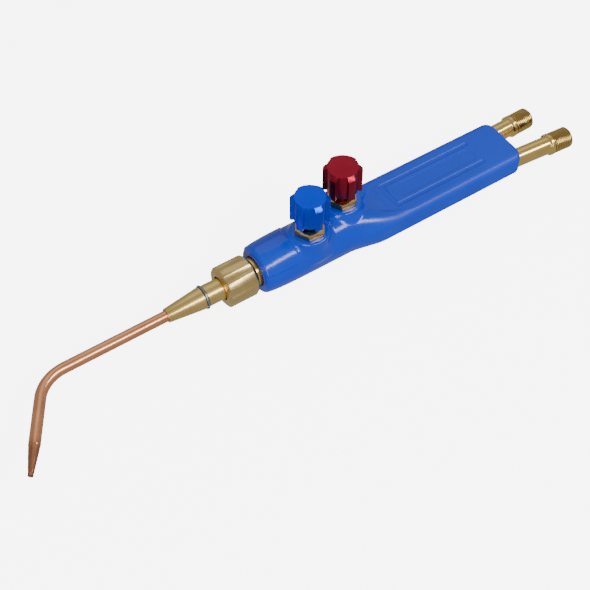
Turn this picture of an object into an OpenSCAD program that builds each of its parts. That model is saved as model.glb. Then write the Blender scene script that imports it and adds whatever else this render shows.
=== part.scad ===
// Hand-held two-gas torch with a screwed union, a mixer and a bent copper nozzle.
// X runs along the torch from the nozzle towards the hose inlets, +Z is up through the valve knobs.
// The origin lies on the torch axis, at the front end of the round band that a bench bracket clamps.

/* [Body] */
// Diameter of the round valve section
barrel_d = 33.2; // [31.2:0.2:40]
// Diameter of the round band in front of it, which a bench bracket clamps
band_d = 32.2; // [30.8:0.2:39]
// Length of the band
band_l = 20; // [12:1:22]
// Diameter of the front face's edge
front_d = 29.4; // [26:0.2:32]
// Length of the tapered front, ahead of the band
front_l = 12.5; // [8:0.5:20]
// Rounding of the front edge
edge_r = 2; // [1:0.5:3]
// Length of the round valve section, from the front face
barrel_l = 60.5; // [56:0.5:90]
// Length of the neck between the valve section and the grip
neck_l = 25.5; // [15:0.5:40]
// Length of the flat grip
grip_l = 107; // [85:1:140]
// Width of the grip
grip_w = 39; // [36:0.5:48]
// Thickness of the grip
grip_t = 18.2; // [16.5:0.1:24]
// How far the middle of the grip lies below the torch axis
grip_drop = 1.6; // [0:0.1:4]
// Rounding of the grip's long edges
grip_edge_r = 5.5; // [3:0.5:8]
// Rounding of the grip's rear corners, seen from above
grip_corner_r = 5; // [3:0.5:8]
// Length of the shoulders beside the thumb rest
shoulder_l = 12; // [6:0.5:20]
// Width of the thumb rest between its shoulders
thumb_w = 23; // [18:1:28]
// Width of the grooves along the grip
groove_w = 3.6; // [2:0.1:5]
// Depth of the grooves
groove_depth = 0.8; // [0.4:0.1:1.2]
// Distance between the long grooves' centre lines
groove_gauge = 18.2; // [14:0.2:22]
// Length of the grooves, from the cross groove's centre line
groove_l = 69.2; // [50:0.1:80]
// Distance from the start of the grip to the cross groove
groove_start = 14; // [8:1:20]

/* [Valves] */
// Distance of the oxygen valve from the front face
valve_x = 36.8; // [36:0.2:40]
// Spacing of the two valves along the torch
valve_spacing = 30; // [28:0.5:40]
// Distance of each valve from the middle plane
valve_y = 4.7; // [3:0.1:5]
// Diameter of the valve bosses
boss_d = 25; // [23:0.5:28]
// Height of the bosses above the torch axis
boss_top = 18.9; // [18:0.1:24]
// Diameter of the threaded valve pockets
pocket_d = 10; // [9:0.5:12]
// Diameter of the gland thread
gland_thread_d = 14; // [12.5:0.5:16]
// Width of the gland hexagon across its flats
gland_af = 17.3; // [16:0.1:20]
// Angle of a corner of the gland hexagons about the spindle
gland_angle = 56; // [0:1:60]
// Height of the gland hexagon
gland_h = 5.4; // [4:0.1:7]
// Thickness of the packing
packing_t = 2; // [1.5:0.1:3]
// Diameter of the spindle
spindle_d = 6; // [5:0.1:7]
// Diameter of the valve ball
ball_d = 3.2; // [2.8:0.1:4]
// Diameter of the hole in the valve seat
seat_d = 2.4; // [1.6:0.1:2.6]
// Thread pitch of the spindle
spindle_pitch = 1; // [0.75:0.25:1.25]
// Turns from shut to fully open
valve_turns = 1.5; // [1:0.25:2]

/* [Knobs] */
// Diameter over the lobes
knob_d = 24.2; // [20:0.2:28]
// Diameter of the knob between the lobes
knob_core_d = 19.6; // [16:0.2:20]
// Diameter of each lobe
lobe_d = 4.8; // [3:0.2:6]
// Number of lobes
lobe_count = 6; // [4:1:8]
// Height of the knob
knob_h = 18.2; // [14:0.2:24]
// Clearance between the knob and the gland hexagon when shut
knob_lift = 5; // [2:0.2:8]
// Angle of the first lobe about the spindle
lobe_angle = 24; // [0:1:60]

/* [Union] */
// Diameter of the union thread
union_d = 20; // [18.5:0.5:22]
// Pitch of the union thread
union_pitch = 1.5; // [1:0.25:2]
// Diameter over the nut's ribs
nut_d = 26.2; // [25.2:0.2:32]
// Length of the nut
nut_l = 20.6; // [18:0.2:26]
// Thickness of the nut's front wall
nut_wall = 4.7; // [3:0.1:6]
// Number of ribs on the nut
rib_count = 8; // [6:1:12]
// Depth of the flutes between the ribs
flute_depth = 0.8; // [0.4:0.1:1.2]
// Diameter of the nose collar behind the nut
collar_d = 19; // [17.5:0.5:20]
// Length of the collar that shows between the nut and the body
collar_l = 3.8; // [2:0.1:6]

/* [Mixer] */
// Diameter of the mixer's plain cylinder
mixer_d = 13.7; // [12:0.1:14.5]
// Visible length from the nut to the retaining ring
mixer_neck_l = 11.85; // [8:0.05:20]
// Largest diameter of the mixer's cone
cone_d = 14.3; // [12.6:0.1:16]
// Length of the cone
cone_l = 25.3; // [15:0.1:40]
// Diameter of the mixer's nose
nose_d = 9; // [8.6:0.1:11]
// Wire diameter of the retaining ring
ring_wire = 1.6; // [1.2:0.1:1.8]
// Diameter of the tail's large step
tail_d = 12; // [11:0.1:13]
// Diameter of the tail's small step
tail_tip_d = 8; // [7.4:0.1:9]
// Diameter of the mixing bore
mix_d = 2.6; // [2:0.1:3]

/* [Nozzle] */
// Outer diameter of the copper tube
tube_d = 7; // [5.6:0.1:7.4]
// Bore of the copper tube
tube_bore = 3.4; // [2.4:0.1:3.6]
// Straight length in front of the mixer
nozzle_l = 67.5; // [30:0.5:150]
// Radius of the bend, to the tube's centre
bend_r = 25; // [15:1:50]
// Angle of the bend
bend_angle = 57; // [20:1:90]
// Length of the outlet leg behind the swaged tip
leg_l = 31.5; // [15:0.5:60]
// Length of the swaged tip
swage_l = 19; // [10:0.5:30]
// Diameter of the tip
tip_d = 3.4; // [2.8:0.1:4.5]
// Diameter of the flame orifice
orifice_d = 1.2; // [0.6:0.1:1.8]

/* [Inlets] */
// Distance between the inlets at the rear face
inlet_spacing = 24.6; // [21:0.2:26]
// How far the inlets lie below the torch axis
inlet_drop = 2.2; // [0:0.1:4]
// Diameter of the inlet stems
stem_d = 12.1; // [11:0.1:12.6]
// Length of the oxygen stem outside the body
oxygen_stem_l = 25; // [18:0.5:40]
// Length of the fuel stem outside the body
fuel_stem_l = 14.5; // [10:0.5:30]
// Depth of the stems inside the body
stem_depth = 24; // [16:1:30]
// Major diameter of the hose thread, 9/16 inch
hose_thread_d = 14.29;
// Length of the hose thread
hose_thread_l = 13.8; // [10:0.1:18]
// Diameter of the gas bores
gas_d = 3.2; // [2.8:0.1:3.8]

/* [Hidden] */
$fn = 64;
run_gap = 0.05;      // radial clearance of anything that turns or slides
end_gap = 0.1;       // axial clearance between faces that move apart
cut = 1;             // how far a cutter runs past a face
channel_d = 3;       // drilled gas channels in the body
tube_wall = 0.7;     // wall of the gas tubes

// Body
face_x = -front_l;
neck_x = face_x + barrel_l;
grip_x = neck_x + neck_l;
rear_x = grip_x + grip_l;
band_r = band_d / 2;
groove_x = grip_x + groove_start;
panel_x = groove_x + 4.5;
panel_l = groove_l - 6.7;
panel_w = 10.6;
panel_r = 5;
panel_depth = 0.4;
grip_top = grip_t / 2 - grip_drop;

// Valves, with heights above the torch axis
oxygen_at = [face_x + valve_x, -valve_y];
fuel_at = [face_x + valve_x + valve_spacing, valve_y];
valve_lift = spindle_pitch * valve_turns;
thumb_x = fuel_at[0] + boss_d / 2 + 1.5;
seat_t = 3;
port_z = 4.2;
thread_z = port_z + 2.6;
thread_l = 4.2;
packing_z = thread_z + thread_l + valve_lift + 0.5;
washer_t = 0.8;
gland_z = packing_z + packing_t + washer_t;
hex_z = boss_top + 0.3;
hex_top = hex_z + gland_h;
knob_z = hex_top + knob_lift;
knob_top = knob_z + knob_h;
chamfer = (knob_d - knob_core_d) / 2;
ball_z = sqrt(pow(ball_d / 2, 2) - pow(seat_d / 2, 2)) + 0.03;
spindle_tip_d = 4.8;
spindle_tip_z = ball_z + 0.35;
spindle_top = knob_z + 13;
grub_d = 3;
grub_z = knob_z + 3.2;

// Union, nose and mixer along X
nut_rear_x = face_x - collar_l;
nut_front_x = nut_rear_x - nut_l;
shoulder_x = nut_front_x + nut_wall;
flange_x = shoulder_x + end_gap;
flange_t = 2.6;
flange_d = union_d - 1.2;
nose_front_x = flange_x + flange_t + end_gap;
nose_depth = 14;
nose_rear_x = face_x + nose_depth;
thread_end_x = nut_rear_x - 1.7;
tail_l = 13.5;
tail_end_x = nose_front_x + tail_l;
tip_l = 8;
tip_end_x = tail_end_x + tip_l;
annulus_d = tail_d - 2.8;
annulus_x = tail_end_x - 5;
fuel_port_x = tail_end_x - 2.6;
injector_d = 4;
injector_tip_x = tail_end_x - 1.8;
ring_x = nut_front_x - mixer_neck_l;
cone_x = ring_x - cone_l;
big_wire = 1.4;
small_wire = 1;
big_groove_d = tail_d - 2 * big_wire;
small_groove_d = tail_tip_d - 2 * small_wire;
big_oring_x = nose_front_x + 4;
small_oring_x = tail_end_x + 4;

// The gas ducts run in the middle of the nose's wall, below their valves
duct_r = (tail_d / 2 + run_gap + collar_d / 2) / 2;
channel_z = -sqrt(pow(duct_r, 2) - pow(valve_y, 2));

// Nozzle
socket_l = 10;
bend_x = cone_x - nozzle_l;
tip_land = 1.5;
joint_overlap = 0.5;  // the outlet leg starts this far inside the bend,
joint_step = 0.04;    // and is this much wider, so that the two join cleanly

// Gas lines run straight from each valve pocket to its inlet in the rear face
inlet_z = -inlet_drop;
oxygen_inlet_at = [rear_x, -inlet_spacing / 2, inlet_z];
fuel_inlet_at = [rear_x, inlet_spacing / 2, inlet_z];
function line_vector(valve, inlet) = inlet - [valve[0], valve[1], port_z];
function line_length(valve, inlet) = norm(line_vector(valve, inlet));
function line_turn(v) = [0, atan2(-v[2], norm([v[0], v[1]])), atan2(v[1], v[0])];

// A solid of revolution about the torch axis, from [x, r] points
module turned(points) {
    rotate([0, 90, 0])
        rotate_extrude()
            polygon([for (p = points) [p[1], p[0]]]);
}

module rod_x(x0, x1, d) {
    translate([x0, 0, 0])
        rotate([0, 90, 0])
            cylinder(d = d, h = x1 - x0);
}

module rod_z(at, z0, z1, d) {
    translate([at[0], at[1], z0])
        cylinder(d = d, h = z1 - z0);
}

// Moves its children, drawn along +X from the rear face, onto a gas line
module on_line(valve, inlet) {
    translate(inlet)
        rotate(line_turn(line_vector(valve, inlet)))
            children();
}

module rounded_rect(w, h, r) {
    square([w - 2 * r, h], center = true);
    square([w, h - 2 * r], center = true);
    for (sx = [-1, 1], sy = [-1, 1])
        translate([sx * (w / 2 - r), sy * (h / 2 - r)])
            circle(r);
}

module grip_section(x, l) {
    translate([x, 0, -grip_drop])
        rotate([90, 0, 90])
            linear_extrude(l)
                rounded_rect(grip_w, grip_t, grip_edge_r);
}

// A rounded front edge, then the taper, the band and the valve section
module barrel() {
    edge = [for (a = [0 : 15 : 90])
        [face_x + edge_r * (1 - cos(a)), front_d / 2 - edge_r * (1 - sin(a))]];
    turned(concat([[face_x, 0]], edge, [[0, band_r], [band_l, band_r], [band_l, barrel_d / 2],
        [neck_x, barrel_d / 2], [neck_x, 0]]));
}

// The neck widens into the grip, and its shoulders run on beside the thumb rest
module neck() {
    hull() {
        rod_x(neck_x - 1, neck_x, barrel_d, $fn = 32);
        grip_section(grip_x, 1, $fn = 32);
    }
    hull() {
        rod_x(neck_x - 1, neck_x, barrel_d, $fn = 32);
        translate([grip_x + shoulder_l - 1, -thumb_w / 2, grip_top - 1])
            cube([1, thumb_w, 1]);
    }
}

// Cuts the flat thumb rest, with its round front end behind the second valve
module thumb_rest() {
    translate([thumb_x + thumb_w / 2, 0, grip_top])
        linear_extrude(barrel_d) {
            circle(d = thumb_w);
            translate([0, -thumb_w / 2])
                square([rear_x, thumb_w]);
        }
}

module grip() {
    intersection() {
        grip_section(grip_x, grip_l);
        translate([rear_x - grip_l / 2, 0, -grip_drop - grip_t])
            linear_extrude(2 * grip_t)
                union() {
                    rounded_rect(grip_l, grip_w, grip_corner_r);
                    translate([-grip_l / 2, -grip_w / 2])
                        square([grip_l / 2, grip_w]);
                }
    }
}

// Two long grooves with rounded ends, joined by one across their front
module grooves() {
    side_y = groove_gauge / 2;
    long_l = groove_l - groove_w / 2;
    translate([groove_x, 0, grip_top - groove_depth])
        linear_extrude(groove_depth + cut)
            for (run = [[[0, -side_y], [long_l, -side_y]], [[0, side_y], [long_l, side_y]],
                    [[0, -side_y], [0, side_y]]])
                hull()
                    for (end = run)
                        translate(end)
                            circle(d = groove_w);
}

module panel() {
    translate([panel_x + panel_l / 2, 0, grip_top - panel_depth])
        linear_extrude(panel_depth + cut)
            rounded_rect(panel_l, panel_w, panel_r);
}

module valve_pocket(at) {
    rod_z(at, -seat_t, packing_z, pocket_d);
    rod_z(at, packing_z, boss_top + cut, gland_thread_d);
    rod_z(at, channel_z, 0, seat_d);
}

module gas_line_bore(valve, inlet) {
    on_line(valve, inlet) {
        rod_x(-stem_depth, cut, stem_d);
        rod_x(pocket_d - line_length(valve, inlet), -stem_depth, gas_d + 2 * tube_wall);
        rod_x(-line_length(valve, inlet), -stem_depth, gas_d);
    }
}

module front_channel(at) {
    translate([0, at[1], channel_z])
        rod_x(nose_rear_x - cut, at[0] + channel_d / 2, channel_d);
}

module torch_body() {
    color("royalblue")
        difference() {
            union() {
                barrel();
                difference() {
                    neck();
                    thumb_rest();
                }
                grip();
                rod_z(oxygen_at, 0, boss_top, boss_d);
                rod_z(fuel_at, 0, boss_top, boss_d);
            }
            grooves();
            panel();
            rod_x(face_x - cut, nose_rear_x, collar_d);
            valve_pocket(oxygen_at);
            valve_pocket(fuel_at);
            gas_line_bore(oxygen_at, oxygen_inlet_at);
            gas_line_bore(fuel_at, fuel_inlet_at);
            front_channel(oxygen_at);
            front_channel(fuel_at);
        }
}

// The fuel duct runs beside the tail, the oxygen duct slants to the middle
module union_nose() {
    duct_d = 2.2;
    port_d = 1.8;
    color("gold")
        difference() {
            turned([[nose_front_x, 0], [nose_front_x, union_d / 2 - 1], [nose_front_x + 1, union_d / 2],
                [thread_end_x, union_d / 2], [thread_end_x, collar_d / 2], [nose_rear_x, collar_d / 2],
                [nose_rear_x, 0]]);
            rod_x(nose_front_x - cut, tail_end_x, tail_d + 2 * run_gap);
            rod_x(nose_front_x, tip_end_x + 1, tail_tip_d + 2 * run_gap);
            translate([0, fuel_at[1], channel_z])
                rod_x(fuel_port_x - duct_d / 2, nose_rear_x + cut, duct_d);
            translate([fuel_port_x, fuel_at[1], channel_z])
                rotate([-atan2(fuel_at[1], -channel_z), 0, 0])
                    cylinder(d = port_d, h = duct_r - tail_tip_d / 2);
            oxygen_run = [nose_rear_x + cut - tip_end_x, oxygen_at[1], channel_z];
            translate([tip_end_x, 0, 0])
                rotate(line_turn(oxygen_run))
                    rod_x(0, norm(oxygen_run), duct_d);
        }
}

module inlet(valve, at, stem_l) {
    collar_t = 2.9;
    relief_t = 0.8;
    thread_x = stem_l + collar_t + relief_t;
    end_x = thread_x + hose_thread_l;
    thread_r = hose_thread_d / 2;
    seat_r = 4.6;
    color("goldenrod")
        on_line(valve, at)
            difference() {
                turned([[-stem_depth, 0], [-stem_depth, stem_d / 2], [stem_l, stem_d / 2],
                    [stem_l + 0.8, thread_r + 0.15], [thread_x - relief_t, thread_r + 0.15],
                    [thread_x - relief_t, thread_r - 0.9], [thread_x, thread_r - 0.9],
                    [thread_x, thread_r], [end_x - 1, thread_r], [end_x, thread_r - 1], [end_x, 0]]);
                rod_x(-stem_depth - cut, end_x + cut, gas_d);
                turned([[end_x - seat_r + gas_d / 2, gas_d / 2], [end_x, seat_r], [end_x + cut, seat_r],
                    [end_x + cut, 0], [end_x - seat_r + gas_d / 2, 0]]);
            }
}

module gas_tube(valve, at) {
    color("peru")
        on_line(valve, at)
            difference() {
                rod_x(pocket_d - line_length(valve, at), -stem_depth, gas_d + 2 * tube_wall);
                rod_x(-line_length(valve, at), cut - stem_depth, gas_d);
            }
}

module seat(at) {
    color("darkgoldenrod")
        difference() {
            rod_z(at, -seat_t, 0, pocket_d);
            rod_z(at, -seat_t - cut, cut, seat_d);
        }
}

module packing(at) {
    color("ivory")
        difference() {
            rod_z(at, packing_z, packing_z + packing_t, gland_thread_d);
            rod_z(at, packing_z - cut, packing_z + packing_t + cut, spindle_d + 2 * run_gap);
        }
}

module packing_washer(at) {
    color("silver")
        difference() {
            rod_z(at, packing_z + packing_t, gland_z, gland_thread_d - 0.2);
            rod_z(at, packing_z, gland_z + cut, spindle_d + 4 * run_gap);
        }
}

module gland_nut(at) {
    corner_r = gland_af / 2 / cos(30);
    bevel = 1.2;
    color("khaki")
        difference() {
            union() {
                rod_z(at, gland_z, hex_z, gland_thread_d);
                intersection() {
                    translate([at[0], at[1], hex_z])
                        rotate([0, 0, gland_angle])
                            cylinder(r = corner_r, h = gland_h, $fn = 6);
                    translate([at[0], at[1], hex_z])
                        rotate_extrude()
                            polygon([[0, 0], [corner_r + 0.1, 0], [corner_r + 0.1, gland_h - bevel],
                                [corner_r - 2 * bevel, gland_h], [0, gland_h]]);
                }
            }
            rod_z(at, gland_z - cut, hex_top + cut, spindle_d + 2 * run_gap);
        }
}

module valve_ball(at) {
    color("white")
        translate([at[0], at[1], ball_z])
            sphere(d = ball_d);
}

module spindle(at) {
    color("lightgray")
        difference() {
            union() {
                rod_z(at, spindle_tip_z, thread_z, spindle_tip_d);
                rod_z(at, thread_z, thread_z + thread_l, pocket_d - 2 * run_gap);
                rod_z(at, thread_z, spindle_top, spindle_d);
            }
            translate([at[0], at[1], ball_z])
                sphere(d = ball_d + 2 * run_gap);
        }
}

module knob_outline() {
    circle(d = knob_core_d);
    for (i = [0 : lobe_count - 1])
        rotate(lobe_angle + i * 360 / lobe_count)
            translate([(knob_d - lobe_d) / 2, 0])
                circle(d = lobe_d);
}

// The grub screw sits between two lobes
module place_grub(at) {
    translate([at[0], at[1], grub_z])
        rotate([0, 0, lobe_angle + 1.5 * 360 / lobe_count])
            children();
}

module knob(at, tint) {
    color(tint)
        difference() {
            translate([at[0], at[1], knob_z])
                intersection() {
                    linear_extrude(knob_h)
                        knob_outline();
                    rotate_extrude()
                        polygon([[0, 0], [knob_d / 2, 0], [knob_d / 2, knob_h - chamfer],
                            [knob_core_d / 2, knob_h], [0, knob_h]]);
                }
            rod_z(at, knob_z - cut, spindle_top, spindle_d);
            place_grub(at)
                rod_x(0, knob_d, grub_d);
        }
}

module knob_screw(at) {
    screw_l = 5.5;
    socket_d = 1.7;
    color("dimgray")
        place_grub(at)
            difference() {
                rod_x(spindle_d / 2 + 0.1, spindle_d / 2 + screw_l, grub_d);
                translate([spindle_d / 2 + screw_l - 1.5, 0, 0])
                    rotate([0, 90, 0])
                        cylinder(d = socket_d, h = 1.5 + cut, $fn = 6);
            }
}

module oring(x, groove_d, wire) {
    color("black")
        translate([x, 0, 0])
            rotate([0, 90, 0])
                rotate_extrude()
                    translate([groove_d / 2 + run_gap + wire / 2, 0])
                        circle(d = wire);
}

module groove(x, groove_d, wire) {
    rotate([0, 90, 0])
        rotate_extrude()
            translate([groove_d / 2, x - wire / 2 - run_gap])
                square([2 * wire, wire + 2 * run_gap]);
}

module mixer() {
    color("burlywood")
        difference() {
            turned([[cone_x, 0], [cone_x, nose_d / 2], [ring_x, cone_d / 2], [ring_x, mixer_d / 2],
                [flange_x, mixer_d / 2], [flange_x, flange_d / 2], [flange_x + flange_t, flange_d / 2],
                [flange_x + flange_t, tail_d / 2], [annulus_x, tail_d / 2], [annulus_x, annulus_d / 2],
                [tail_end_x, annulus_d / 2], [tail_end_x, tail_tip_d / 2], [tip_end_x, tail_tip_d / 2],
                [tip_end_x, 0]]);
            rod_x(cone_x - cut, cone_x + socket_l, tube_d);
            rod_x(cone_x, injector_tip_x, mix_d);
            rod_x(injector_tip_x, tip_end_x + cut, injector_d);
            groove(ring_x, mixer_d - ring_wire, ring_wire);
            groove(big_oring_x, big_groove_d, big_wire);
            groove(small_oring_x, small_groove_d, small_wire);
            for (turn = [0, 90])
                translate([fuel_port_x, 0, 0])
                    rotate([turn, 0, 0])
                        cylinder(d = 1.4, h = annulus_d + cut, center = true);
        }
}

module injector() {
    color("gold")
        difference() {
            rod_x(injector_tip_x, tip_end_x, injector_d);
            rod_x(injector_tip_x - cut, tip_end_x + cut, 0.8);
            rod_x(injector_tip_x + 2, tip_end_x + cut, 2);
        }
}

module retaining_ring() {
    color("gainsboro")
        translate([ring_x, 0, 0])
            rotate([0, 90, 0])
                rotate_extrude()
                    translate([(mixer_d + ring_wire) / 2 - ring_wire / 2, 0])
                        circle(d = ring_wire);
}

// The ribs are left between shallow flutes cut by wide rods
module union_nut() {
    nut_r = nut_d / 2;
    bevel = 1.3;
    flute_r = 7;
    color("tan")
        difference() {
            turned([[nut_front_x, 0], [nut_front_x, nut_r - 2 * bevel], [nut_front_x + bevel, nut_r],
                [nut_rear_x - bevel, nut_r], [nut_rear_x, nut_r - bevel], [nut_rear_x, 0]]);
            rod_x(nut_front_x - cut, shoulder_x, mixer_d + 1.5);
            rod_x(shoulder_x, nut_rear_x + cut, union_d + 2 * run_gap);
            for (i = [0 : rib_count - 1])
                rotate([(i + 0.5) * 360 / rib_count, 0, 0])
                    translate([0, 0, nut_r + flute_r - flute_depth])
                        rod_x(nut_front_x - cut, nut_rear_x + cut, 2 * flute_r);
        }
}

// The tube's path: straight, bend and outlet leg
module nozzle_path(d, straight_x, leg) {
    rod_x(bend_x, straight_x, d);
    translate([bend_x, -bend_r, 0])
        rotate([0, 0, 90])
            rotate_extrude(angle = bend_angle)
                translate([bend_r, 0])
                    circle(d = d);
    at_leg()
        rod_x(-joint_overlap, leg, d + joint_step);
}

module at_leg() {
    translate([bend_x, -bend_r, 0])
        rotate([0, 0, bend_angle])
            translate([0, bend_r, 0])
                rotate([0, 0, 180])
                    children();
}

module nozzle() {
    color("sandybrown")
        difference() {
            union() {
                nozzle_path(tube_d, cone_x + socket_l, leg_l);
                at_leg()
                    turned([[leg_l, 0], [leg_l, tube_d / 2], [leg_l + swage_l - tip_land, tip_d / 2],
                        [leg_l + swage_l, tip_d / 2], [leg_l + swage_l, 0]]);
            }
            nozzle_path(tube_bore, cone_x + socket_l + cut, leg_l);
            at_leg()
                turned([[leg_l - 0.1, 0], [leg_l - 0.1, tube_bore / 2], [leg_l + swage_l - 3, orifice_d / 2],
                    [leg_l + swage_l + cut, orifice_d / 2], [leg_l + swage_l + cut, 0]]);
        }
}

torch_body();
union_nose();
inlet(oxygen_at, oxygen_inlet_at, oxygen_stem_l);  // oxygen_inlet
inlet(fuel_at, fuel_inlet_at, fuel_stem_l);  // fuel_inlet
gas_tube(oxygen_at, oxygen_inlet_at);  // oxygen_tube
gas_tube(fuel_at, fuel_inlet_at);  // fuel_tube
seat(oxygen_at);  // oxygen_seat
seat(fuel_at);  // fuel_seat
packing(oxygen_at);  // oxygen_packing
packing(fuel_at);  // fuel_packing
packing_washer(oxygen_at);  // oxygen_packing_washer
packing_washer(fuel_at);  // fuel_packing_washer
gland_nut(oxygen_at);  // oxygen_gland_nut
gland_nut(fuel_at);  // fuel_gland_nut
valve_ball(oxygen_at);  // oxygen_valve_ball
valve_ball(fuel_at);  // fuel_valve_ball
spindle(oxygen_at);  // oxygen_spindle
spindle(fuel_at);  // fuel_spindle
knob(oxygen_at, "blue");  // oxygen_knob
knob(fuel_at, "firebrick");  // fuel_knob
knob_screw(oxygen_at);  // oxygen_knob_screw
knob_screw(fuel_at);  // fuel_knob_screw
oring(big_oring_x, big_groove_d, big_wire);  // large_oring
oring(small_oring_x, small_groove_d, small_wire);  // small_oring
mixer();
injector();
retaining_ring();
nozzle();
union_nut();
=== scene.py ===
"""A hand torch for lampwork, seen from above and in front on a white table.

The blue enamelled casting, the knobs, the brass fittings and the copper nozzle are new pieces
that stand for the CAD nodes of the same name. Lengths are in millimetres until a mesh is made.
"""

import math

import bmesh
import bpy
import numpy as np
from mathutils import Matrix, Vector


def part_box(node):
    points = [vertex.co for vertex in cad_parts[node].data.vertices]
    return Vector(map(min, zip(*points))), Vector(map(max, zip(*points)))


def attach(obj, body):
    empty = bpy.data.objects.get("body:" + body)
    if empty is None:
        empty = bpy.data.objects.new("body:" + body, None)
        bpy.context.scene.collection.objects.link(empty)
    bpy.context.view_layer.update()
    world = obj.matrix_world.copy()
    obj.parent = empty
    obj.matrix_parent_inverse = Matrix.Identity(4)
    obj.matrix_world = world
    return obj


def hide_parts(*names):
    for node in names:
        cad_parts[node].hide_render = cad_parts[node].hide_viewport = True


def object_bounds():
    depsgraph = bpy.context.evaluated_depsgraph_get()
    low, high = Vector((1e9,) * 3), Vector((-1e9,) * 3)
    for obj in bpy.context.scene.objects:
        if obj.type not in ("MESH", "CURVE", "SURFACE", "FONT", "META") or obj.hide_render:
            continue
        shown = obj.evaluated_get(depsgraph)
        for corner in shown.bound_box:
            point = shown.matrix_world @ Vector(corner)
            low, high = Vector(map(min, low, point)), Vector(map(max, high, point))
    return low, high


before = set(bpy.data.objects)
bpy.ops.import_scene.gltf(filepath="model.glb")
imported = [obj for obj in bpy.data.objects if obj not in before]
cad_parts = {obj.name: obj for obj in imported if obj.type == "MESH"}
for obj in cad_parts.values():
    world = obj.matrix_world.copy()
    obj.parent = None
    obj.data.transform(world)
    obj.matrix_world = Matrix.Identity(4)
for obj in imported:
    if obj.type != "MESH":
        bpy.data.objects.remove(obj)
cad_low, cad_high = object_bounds()

MM = 0.001
STRAIGHT = "straight"  # attribute: where a point of a bent or turned piece lies on the straight bar
SEGMENTS = 96


# ---------------------------------------------------------------- places from the frame

def corners(node):
    """The lowest and highest corner of a CAD node, in millimetres."""
    low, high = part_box(node)
    return np.array(low) / MM, np.array(high) / MM


BODY_LOW, BODY_HIGH = corners("torch_body")
NUT_LOW, NUT_HIGH = corners("union_nut")
NOSE_LOW, NOSE_HIGH = corners("union_nose")
MIXER_LOW, MIXER_HIGH = corners("mixer")
RING_LOW, RING_HIGH = corners("retaining_ring")
NOZZLE_HIGH = corners("nozzle")[1]

FACE_X = BODY_LOW[0]
REAR_X = BODY_HIGH[0]
BOSS_TOP = BODY_HIGH[2]
BARREL_L = 60.5
NECK_L = 25.5
NECK_X = FACE_X + BARREL_L
GRIP_X = NECK_X + NECK_L
GRIP_TOP = 7.5
GRIP_BOTTOM = -10.7
TUBE_R = NOZZLE_HIGH[2]
SOCKET_L = 10        # how far the nozzle's tube goes into the mixer
GAP = 0.05

# Valves
POCKET_R = 5.0       # bore that the spindle's thread runs in
GLAND_R = 7.0        # bore that holds the packing and the gland nut
PORT_Z = 4.2         # height at which the gas lines meet the valves
SPINDLE_R = 3.0
HEX_H = 5.4
HEX_FLAT_R = 8.65
HEX_TURN = 56

# Hose inlets
INLET_Y = 12.3
INLET_Z = -2.2
STEM_R = 6.05
STEM_DEPTH = 24
STEM_L = {"oxygen": 25.0, "fuel": 14.5}
THREAD_HAND = {"oxygen": 1, "fuel": -1}
HOSE_THREAD_R = 7.145
HOSE_THREAD_L = 13.8
HOSE_PITCH = 1.411
GAS_R = 1.6
DUCT_R = 2.3

# Union
COLLAR_R = 9.5
UNION_THREAD_R = 10.0
UNION_THREAD_END = -18.0
UNION_PITCH = 1.5


def valve_centre(gas):
    low, high = corners(gas + "_spindle")
    return (low[:2] + high[:2]) / 2


OXYGEN_AT = valve_centre("oxygen")
FUEL_AT = valve_centre("fuel")


# ---------------------------------------------------------------- mesh tools

def new_piece(name, points, faces, look, body, stands_for, straight=None, normals=None):
    """Makes a piece from points in millimetres, and ties it to its body, slot and CAD node."""
    mesh = bpy.data.meshes.new(name)
    mesh.from_pydata((np.asarray(points) * MM).tolist(), [], np.asarray(faces).tolist())
    if straight is not None:
        layer = mesh.attributes.new(STRAIGHT, "FLOAT_VECTOR", "POINT")
        layer.data.foreach_set("vector", np.asarray(straight, np.float32).ravel())
    if normals is None:
        clean(mesh)
    mesh.polygons.foreach_set("use_smooth", [True] * len(mesh.polygons))
    if normals is None:
        mesh.set_sharp_from_angle(angle=math.radians(32))
    else:
        mesh.normals_split_custom_set_from_vertices(normals.tolist())
    mesh.materials.append(look)
    piece = bpy.data.objects.new(name, mesh)
    bpy.context.scene.collection.objects.link(piece)
    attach(piece, body)
    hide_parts(*stands_for)
    return piece


def clean(mesh):
    """Welds the points that fall together at a pole, and turns all faces outwards."""
    shape = bmesh.new()
    shape.from_mesh(mesh)
    bmesh.ops.remove_doubles(shape, verts=shape.verts, dist=1e-7)
    bmesh.ops.dissolve_degenerate(shape, edges=shape.edges, dist=1e-7)
    bmesh.ops.recalc_face_normals(shape, faces=shape.faces)
    shape.to_mesh(mesh)
    shape.free()


def line_place(origin, axis, side):
    """A straight bar's place: s runs along axis from origin, and a along side."""
    origin = np.array(origin, float)
    along = np.array(axis, float) / np.linalg.norm(axis)
    across = np.array(side, float) - np.dot(side, along) * along
    across /= np.linalg.norm(across)
    third = np.cross(along, across)

    def place(bar):
        return origin + bar @ np.array([along, across, third])

    return place


ON_X = line_place((0, 0, 0), (1, 0, 0), (0, 0, 1))


def on_valve(at):
    return line_place((at[0], at[1], 0), (0, 0, 1), (1, 0, 0))


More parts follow.
